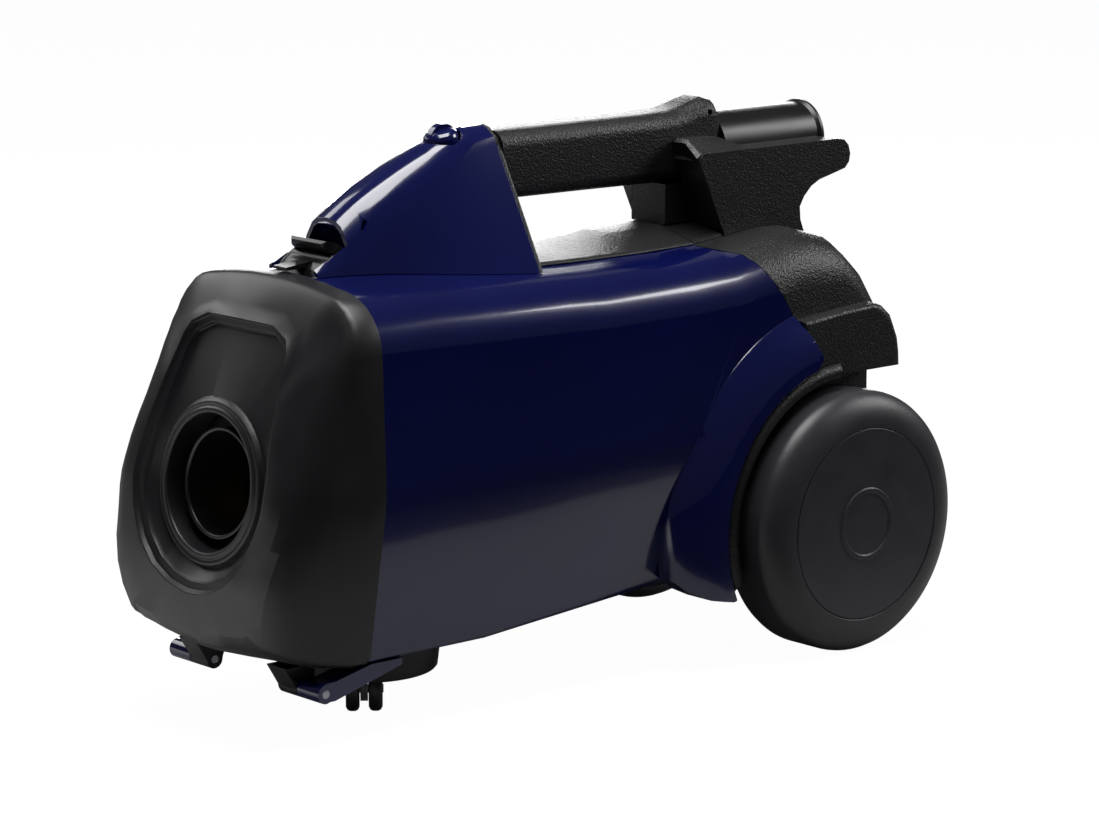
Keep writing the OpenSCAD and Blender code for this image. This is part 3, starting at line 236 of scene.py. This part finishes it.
def pebbled_polypropylene(look):
    """Black polypropylene from a spark-eroded tool: satin, with a fine pebble grain."""
    material, tree, output, coords = new_material("pebbled_polypropylene")
    black = linear(look.black)
    scale = 1.0 / look.grain
    grain = add(
        tree,
        "ShaderNodeTexVoronoi",
        {"feature": "SMOOTH_F1"},
        {"Vector": coords, "Scale": scale, "Smoothness": 0.6, "Randomness": 1.0},
    )
    cloud = add(
        tree, "ShaderNodeTexNoise", inputs={"Vector": coords, "Scale": scale * 0.45, "Detail": 4.0}
    )
    height = add(
        tree,
        "ShaderNodeMath",
        {"operation": "ADD"},
        {0: grain.outputs["Distance"], 1: cloud.outputs["Fac"]},
    )
    tint = ramp(
        tree, cloud.outputs["Fac"], [(0.3, shade(black, 0.8)), (0.7, shade(black, 1.3))]
    )
    rough = add(
        tree,
        "ShaderNodeMapRange",
        inputs={"Value": grain.outputs["Distance"], "To Min": 0.34, "To Max": 0.5},
    )
    bump = add(
        tree,
        "ShaderNodeBump",
        inputs={"Strength": 0.7, "Distance": 0.0004, "Height": height.outputs[0]},
    )
    shader = add(
        tree,
        "ShaderNodeBsdfPrincipled",
        inputs={
            "Base Color": tint.outputs["Color"],
            "Roughness": rough.outputs["Result"],
            "IOR": 1.49,
            "Normal": bump.outputs["Normal"],
        },
    )
    tree.links.new(shader.outputs[0], output.inputs["Surface"])
    return material


def moulded_plastic(name, colour, roughness, fine, strength, ior=1.5):
    """Plain moulded plastic with slight mottling and a fine tool finish."""
    material, tree, output, coords = new_material(name)
    base = linear(colour)
    cloud = add(
        tree, "ShaderNodeTexNoise", inputs={"Vector": coords, "Scale": 60.0, "Detail": 3.0}
    )
    tint = ramp(
        tree, cloud.outputs["Fac"], [(0.3, shade(base, 0.9)), (0.7, shade(base, 1.12))]
    )
    tool = add(
        tree, "ShaderNodeTexNoise", inputs={"Vector": coords, "Scale": 1.0 / fine, "Detail": 2.0}
    )
    rough = add(
        tree,
        "ShaderNodeMapRange",
        inputs={
            "Value": cloud.outputs["Fac"],
            "To Min": roughness - 0.05,
            "To Max": roughness + 0.05,
        },
    )
    bump = add(
        tree,
        "ShaderNodeBump",
        inputs={"Strength": strength, "Distance": 0.0002, "Height": tool.outputs["Fac"]},
    )
    shader = add(
        tree,
        "ShaderNodeBsdfPrincipled",
        inputs={
            "Base Color": tint.outputs["Color"],
            "Roughness": rough.outputs["Result"],
            "IOR": ior,
            "Normal": bump.outputs["Normal"],
        },
    )
    tree.links.new(shader.outputs[0], output.inputs["Surface"])
    return material


def drawn_metal(name, colour, roughness, pitch):
    """Metal with fine lines left by turning or rolling."""
    material, tree, output, coords = new_material(name)
    base = linear(colour)
    stretch = add(
        tree, "ShaderNodeMapping", inputs={"Vector": coords, "Scale": (1.0, 0.04, 1.0)}
    )
    lines = add(
        tree,
        "ShaderNodeTexNoise",
        inputs={"Vector": stretch.outputs[0], "Scale": 1.0 / pitch, "Detail": 2.0},
    )
    tint = ramp(
        tree, lines.outputs["Fac"], [(0.3, shade(base, 0.85)), (0.7, shade(base, 1.1))]
    )
    bump = add(
        tree,
        "ShaderNodeBump",
        inputs={"Strength": 0.2, "Distance": 0.0001, "Height": lines.outputs["Fac"]},
    )
    shader = add(
        tree,
        "ShaderNodeBsdfPrincipled",
        inputs={
            "Base Color": tint.outputs["Color"],
            "Metallic": 1.0,
            "Roughness": roughness,
            "Normal": bump.outputs["Normal"],
        },
    )
    tree.links.new(shader.outputs[0], output.inputs["Surface"])
    return material


def fibre(name, colour, size, roughness=0.9):
    """Paper, card, felt or foam: matte, with a fibrous mottle."""
    material, tree, output, coords = new_material(name)
    base = linear(colour)
    mottle = add(
        tree, "ShaderNodeTexNoise", inputs={"Vector": coords, "Scale": 1.0 / size, "Detail": 6.0}
    )
    tint = ramp(
        tree, mottle.outputs["Fac"], [(0.3, shade(base, 0.75)), (0.7, shade(base, 1.15))]
    )
    bump = add(
        tree,
        "ShaderNodeBump",
        inputs={"Strength": 0.5, "Distance": 0.0005, "Height": mottle.outputs["Fac"]},
    )
    shader = add(
        tree,
        "ShaderNodeBsdfPrincipled",
        inputs={
            "Base Color": tint.outputs["Color"],
            "Roughness": roughness,
            "Normal": bump.outputs["Normal"],
        },
    )
    tree.links.new(shader.outputs[0], output.inputs["Surface"])
    return material


def make_materials(look):
    """All the finishes, by the slot names of the record."""
    return {
        "painted_navy": gloss_navy_abs(look),
        "black_textured": pebbled_polypropylene(look),
        # ABS from a finely etched tool: the cover's soft, even sheen.
        "black_satin": moulded_plastic("etched_black_abs", look.satin_black, 0.4, 0.0007, 0.3),
        # ABS from a satin tool: dark, with soft broad highlights.
        "black_smooth": moulded_plastic("satin_black_abs", look.smooth_black, 0.34, 0.0006, 0.15),
        "grey_plastic": moulded_plastic("grey_polypropylene", "#6C6D70", 0.5, 0.0009, 0.2),
        # Blow-moulded polyethylene tread: satin, faintly uneven.
        "wheel_tread": moulded_plastic("wheel_polyethylene", look.tread, 0.42, 0.0009, 0.4),
        "hub_grey": moulded_plastic("hub_abs", look.hub, 0.4, 0.0007, 0.3),
        "roller_plastic": moulded_plastic("roller_nylon", "#2E2E30", 0.4, 0.001, 0.15),
        "phenolic": moulded_plastic("phenolic_resin", "#5A4A3A", 0.5, 0.001, 0.2),
        "carbon": moulded_plastic("pressed_carbon", "#2A2A2C", 0.6, 0.0005, 0.4),
        "soft_rubber": moulded_plastic("soft_rubber", "#1E1E20", 0.7, 0.0008, 0.3, 1.52),
        "bare_steel": drawn_metal("drawn_steel", "#B9BBC0", 0.3, 0.0008),
        "pressed_steel": drawn_metal("pressed_steel", "#A6A8AC", 0.38, 0.0015),
        "bearing_steel": drawn_metal("bearing_steel", "#B0B2B6", 0.22, 0.0006),
        "fan_aluminium": drawn_metal("pressed_aluminium", "#C8CACD", 0.35, 0.0012),
        "core_steel": drawn_metal("laminated_core_steel", "#8A8D92", 0.45, 0.0007),
        "copper_wire": drawn_metal("enamelled_copper_wire", "#A65F32", 0.35, 0.0009),
        "commutator_copper": drawn_metal("commutator_copper", "#B87333", 0.28, 0.0012),
        "card": fibre("brown_card", "#B89A6A", 0.0012),
        "paper": fibre("filter_paper", "#C9B48A", 0.002),
        "filter_foam": fibre("open_cell_foam", "#3C3C40", 0.0008),
        "filter_media": fibre("pleated_filter_felt", "#D9D6C8", 0.001),
    }


# The finishes by slot, filled by the first operator.
MATERIALS = {}


# ------------------------------------------------------------------ small parts
def finish_piece(piece, body, slot):
    """Gives a new piece the finish of the given slot, smooth shading and crisp edges, and hangs it
    on its body.
    """
    piece.data.materials.clear()
    piece.data.materials.append(MATERIALS[slot])
    for polygon in piece.data.polygons:
        polygon.use_smooth = True
    split = piece.modifiers.new("crisp edges", "EDGE_SPLIT")
    split.split_angle = CREASE_ANGLE
    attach(piece, body)
    return piece


def grown_piece(name, group, values):
    """Bakes what a geometry node group makes from the given input values."""
    holder = bpy.data.objects.new(name + "_holder", bpy.data.meshes.new(name + "_seed"))
    bpy.context.scene.collection.objects.link(holder)
    modifier = holder.modifiers.new("shape", "NODES")
    modifier.node_group = group
    for item in group.interface.items_tree:
        if item.in_out == "INPUT":
            modifier[item.identifier] = values[item.name]
    depsgraph = bpy.context.evaluated_depsgraph_get()
    mesh = bpy.data.meshes.new_from_object(holder.evaluated_get(depsgraph), depsgraph=depsgraph)
    mesh.name = name
    bpy.data.objects.remove(holder)
    work = bmesh.new()
    work.from_mesh(mesh)
    bmesh.ops.remove_doubles(work, verts=work.verts, dist=1e-6)
    bmesh.ops.recalc_face_normals(work, faces=work.faces)
    work.to_mesh(mesh)
    work.free()
    piece = bpy.data.objects.new(name, mesh)
    bpy.context.scene.collection.objects.link(piece)
    return piece


def arch_lip_group(material):
    """A rounded lip swept along an arc round the wheel axle, once on each side."""
    group = bpy.data.node_groups.new("arch lip", "GeometryNodeTree")
    inputs = {
        "Radius": "NodeSocketFloat",
        "Start": "NodeSocketFloat",
        "Sweep": "NodeSocketFloat",
        "Half width": "NodeSocketFloat",
        "Height": "NodeSocketFloat",
        "Left": "NodeSocketVector",
        "Right": "NodeSocketVector",
    }
    for name, kind in inputs.items():
        group.interface.new_socket(name, in_out="INPUT", socket_type=kind)
    group.interface.new_socket("Mesh", in_out="OUTPUT", socket_type="NodeSocketGeometry")
    given = add(group, "NodeGroupInput").outputs
    arc = add(
        group,
        "GeometryNodeCurveArc",
        inputs={
            "Resolution": 120,
            "Radius": given["Radius"],
            "Start Angle": given["Start"],
            "Sweep Angle": given["Sweep"],
        },
    )
    # The lip grows from nothing to its full height over its first and last stretch.
    along = add(group, "GeometryNodeSplineParameter").outputs["Factor"]
    to_end = add(group, "ShaderNodeMath", {"operation": "PINGPONG"}, {0: along, 1: 0.5})
    ease = add(
        group,
        "ShaderNodeMapRange",
        inputs={"Value": to_end.outputs[0], "From Min": 0.0, "From Max": 0.035},
    )
    full = add(group, "ShaderNodeMath", {"operation": "POWER"}, {0: ease.outputs[0], 1: 0.5})
    least = add(group, "ShaderNodeMath", {"operation": "MAXIMUM"}, {0: full.outputs[0], 1: 0.08})
    path = add(
        group,
        "GeometryNodeSetCurveRadius",
        inputs={"Curve": arc.outputs["Curve"], "Radius": least.outputs[0]},
    )
    circle = add(
        group, "GeometryNodeCurvePrimitiveCircle", inputs={"Resolution": 24, "Radius": 1.0}
    )
    section = add(
        group,
        "ShaderNodeCombineXYZ",
        inputs={"X": given["Half width"], "Y": given["Height"], "Z": 1.0},
    )
    profile = add(
        group,
        "GeometryNodeTransform",
        inputs={"Geometry": circle.outputs["Curve"], "Scale": section.outputs[0]},
    )
    swept = add(
        group,
        "GeometryNodeCurveToMesh",
        inputs={
            "Curve": path.outputs[0],
            "Profile Curve": profile.outputs[0],
            "Fill Caps": True,
        },
    )
    both = add(group, "GeometryNodeJoinGeometry")
    for side in ("Left", "Right"):
        placed = add(
            group,
            "GeometryNodeTransform",
            inputs={
                "Geometry": swept.outputs[0],
                "Translation": given[side],
                "Rotation": (math.pi / 2, 0.0, math.pi / 2),
            },
        )
        group.links.new(placed.outputs[0], both.inputs[0])
    solid = add(group, "GeometryNodeRealizeInstances", inputs={0: both.outputs[0]})
    coated = add(group, "GeometryNodeSetMaterial", inputs={"Geometry": solid.outputs[0]})
    coated.inputs["Material"].default_value = material
    output = add(group, "NodeGroupOutput")
    group.links.new(coated.outputs[0], output.inputs[0])
    return group


class VACUUM_OT_finishes(bpy.types.Operator):
    """Gives every moulding of the frame its finish and rounds its edges"""

    bl_idname = "vacuum.finishes"
    bl_label = "Finish the mouldings"

    def execute(self, context):
        look = context.scene.vacuum_finish
        MATERIALS.update(make_materials(look))
        slots = {s["node"]: s["material_slot"] for s in frame["record"]["subparts"]}
        for name, node in NODES.items():
            node.data.materials.clear()
            node.data.materials.append(MATERIALS[slots[name]])
            for polygon in node.data.polygons:
                polygon.use_smooth = True
            weld = node.modifiers.new("weld", "WELD")
            weld.merge_threshold = 0.00001
            if name not in FINE_NODES:
                bevel = node.modifiers.new("edges", "BEVEL")
                bevel.width = look.edge
                bevel.segments = 2
                bevel.limit_method = "ANGLE"
                bevel.angle_limit = ROUND_ANGLE
                bevel.use_clamp_overlap = True
                bevel.harden_normals = False
            split = node.modifiers.new("crisp edges", "EDGE_SPLIT")
            split.split_angle = CREASE_ANGLE
            # Large faces lead the shading, so that a curved wall shows no facets.
            even = node.modifiers.new("even shading", "WEIGHTED_NORMAL")
            even.mode = "FACE_AREA"
            even.weight = 50
        return {"FINISHED"}


class VACUUM_OT_arch_lips(bpy.types.Operator):
    """Adds the rounded black lip that stands between each wheel and the painted flare"""

    bl_idname = "vacuum.arch_lips"
    bl_label = "Add the arch lips"

    def execute(self, context):
        look = context.scene.vacuum_finish
        # The lip follows the flat outer edge of the arch liner in the frame.
        low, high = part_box("rear_wheel_left")
        axle_y, axle_z = (low[1] + high[1]) / 2, (low[2] + high[2]) / 2
        points = [v.co for v in NODES["arch_liner_left"].data.vertices]
        face_x = max(p.x for p in points)
        edge = [p for p in points if p.x > face_x - 0.0002]
        reach = [math.hypot(p.y - axle_y, p.z - axle_z) for p in edge]
        turns = [math.atan2(p.z - axle_z, p.y - axle_y) % (2 * math.pi) for p in edge]
        end = max(turns) - LIP_END_GAP
        inner, outer = min(reach), max(reach)
        group = arch_lip_group(MATERIALS["black_textured"])
        piece = grown_piece(
            "arch_lips",
            group,
            {
                "Radius": (inner + outer) / 2,
                "Start": LIP_START,
                "Sweep": end - LIP_START,
                "Half width": (outer - inner) / 2,
                "Height": look.lip_height,
                "Left": (face_x, axle_y, axle_z),
                "Right": (-face_x, axle_y, axle_z),
            },
        )
        finish_piece(piece, "housing", "black_textured")
        return {"FINISHED"}


class VACUUM_OT_stage(bpy.types.Operator):
    """Adds the floor, the lamps and the camera"""

    bl_idname = "vacuum.stage"
    bl_label = "Add the studio"

    def execute(self, context):
        studio = context.scene.vacuum_studio
        scene = context.scene
        # A flat sheet of white card under the object.
        material, tree, output, coords = new_material("white_card_floor")
        white = linear(studio.floor)
        card = add(
            tree, "ShaderNodeBsdfDiffuse", inputs={"Color": shade(white, 0.8), "Roughness": 1.0}
        )
        glow = add(tree, "ShaderNodeEmission", inputs={"Color": white, "Strength": 1.05})
        path = add(tree, "ShaderNodeLightPath")
        # The card is brightest in front of the object and ends beside it, so that the side
        # mirrors a dark room above a band of white.
        place = add(tree, "ShaderNodeSeparateXYZ", inputs={"Vector": coords})
        beyond = add(
            tree,
            "ShaderNodeMapRange",
            inputs={
                "Value": place.outputs["X"],
                "From Min": CARD_EDGE[0],
                "From Max": CARD_EDGE[1],
            },
        )
        dull = add(tree, "ShaderNodeBsdfDiffuse", inputs={"Color": shade(white, 0.34)})
        dark = add(tree, "ShaderNodeBsdfDiffuse", inputs={"Color": shade(white, 0.02)})
        ahead = add(
            tree,
            "ShaderNodeMapRange",
            inputs={
                "Value": place.outputs["Y"],
                "From Min": CARD_FRONT[0],
                "From Max": CARD_FRONT[1],
            },
        )
        near = add(
            tree,
            "ShaderNodeMixShader",
            inputs={"Fac": ahead.outputs["Result"], 1: dull.outputs[0], 2: card.outputs[0]},
        )
        sheet = add(
            tree,
            "ShaderNodeMixShader",
            inputs={"Fac": beyond.outputs["Result"], 1: near.outputs[0], 2: dark.outputs[0]},
        )
        lit = add(
            tree,
            "ShaderNodeMixShader",
            inputs={"Fac": path.outputs["Is Camera Ray"], 1: sheet.outputs[0], 2: card.outputs[0]},
        )
        mix = add(
            tree,
            "ShaderNodeMixShader",
            inputs={"Fac": 0.0, 1: lit.outputs[0], 2: glow.outputs[0]},
        )
        # The floor keeps part of the object's shadow under a white glow.
        seen = add(
            tree,
            "ShaderNodeMath",
            {"operation": "MULTIPLY"},
            {0: path.outputs["Is Camera Ray"], 1: 0.93},
        )
        tree.links.new(seen.outputs[0], mix.inputs["Fac"])
        tree.links.new(mix.outputs[0], output.inputs["Surface"])
        bpy.ops.mesh.primitive_plane_add(size=12.0, location=(0, 0, -0.0003))
        floor = context.object
        floor.name = "floor"
        floor.data.materials.append(material)

        world = bpy.data.worlds.new("studio")
        scene.world = world
        world.use_nodes = True
        tree = world.node_tree
        tree.nodes.clear()
        sky = add(
            tree, "ShaderNodeBackground", inputs={"Color": (1, 1, 1, 1), "Strength": 0.05}
        )
        back = add(tree, "ShaderNodeBackground", inputs={"Color": white, "Strength": 1.0})
        path = add(tree, "ShaderNodeLightPath")
        mix = add(
            tree,
            "ShaderNodeMixShader",
            inputs={
                "Fac": path.outputs["Is Camera Ray"],
                1: sky.outputs[0],
                2: back.outputs[0],
            },
        )
        output = add(tree, "ShaderNodeOutputWorld")
        tree.links.new(mix.outputs[0], output.inputs["Surface"])

        lamps = [
            ("top_softbox", (0.15, -0.1, 1.5), 0.9, 24.0),
            ("left_softbox", (-1.35, -0.35, 1.15), 0.9, 8.0),
            ("back_card", (-1.25, 1.15, 0.42), 0.8, 18.0),
            ("rear_softbox", (0.8, 1.6, 1.1), 0.7, 15.0),
        ]
        for name, place, size, power in lamps:
            data = bpy.data.lights.new(name, "AREA")
            data.shape = "SQUARE"
            data.size = size
            data.energy = power
            lamp = bpy.data.objects.new(name, data)
            scene.collection.objects.link(lamp)
            lamp.location = place
            aim = Vector((0, 0, 0.15)) - Vector(place)
            lamp.rotation_euler = aim.to_track_quat("-Z", "Y").to_euler()

        data = bpy.data.cameras.new("camera")
        camera = bpy.data.objects.new("camera", data)
        scene.collection.objects.link(camera)
        data.lens = studio.lens
        data.sensor_width = 36.0
        data.clip_start = 0.01
        away = Vector(
            (
                math.sin(studio.azimuth) * math.cos(studio.elevation),
                -math.cos(studio.azimuth) * math.cos(studio.elevation),
                math.sin(studio.elevation),
            )
        )
        camera.location = Vector(studio.aim) + away * studio.distance
        camera.rotation_euler = (math.pi / 2 - studio.elevation, 0.0, studio.azimuth)
        scene.camera = camera
        scene.view_settings.view_transform = "Standard"
        return {"FINISHED"}


class VACUUM_PT_panel(bpy.types.Panel):
    """Lists the steps of the model in the sidebar"""

    bl_idname = "VACUUM_PT_panel"
    bl_label = "Canister vacuum cleaner"
    bl_space_type = "VIEW_3D"
    bl_region_type = "UI"
    bl_category = "Vacuum"

    def draw(self, context):
        layout = self.layout
        for group in (context.scene.vacuum_finish, context.scene.vacuum_studio):
            for name in group.bl_rna.properties.keys():
                if name not in ("rna_type", "name"):
                    layout.prop(group, name)
        for operator in OPERATORS:
            layout.operator(operator.bl_idname)


GROUPS = (VacuumFinish, VacuumStudio)
OPERATORS = (VACUUM_OT_finishes, VACUUM_OT_arch_lips, VACUUM_OT_stage)


def register():
    for item in GROUPS + OPERATORS + (VACUUM_PT_panel,):
        bpy.utils.register_class(item)
    bpy.types.Scene.vacuum_finish = bpy.props.PointerProperty(type=VacuumFinish)
    bpy.types.Scene.vacuum_studio = bpy.props.PointerProperty(type=VacuumStudio)


def unregister():
    del bpy.types.Scene.vacuum_studio
    del bpy.types.Scene.vacuum_finish
    for item in reversed(GROUPS + OPERATORS + (VACUUM_PT_panel,)):
        bpy.utils.unregister_class(item)


def main():
    register()
    bpy.ops.vacuum.finishes()
    bpy.ops.vacuum.arch_lips()
    bpy.ops.vacuum.stage()


if __name__ == "__main__":
    main()
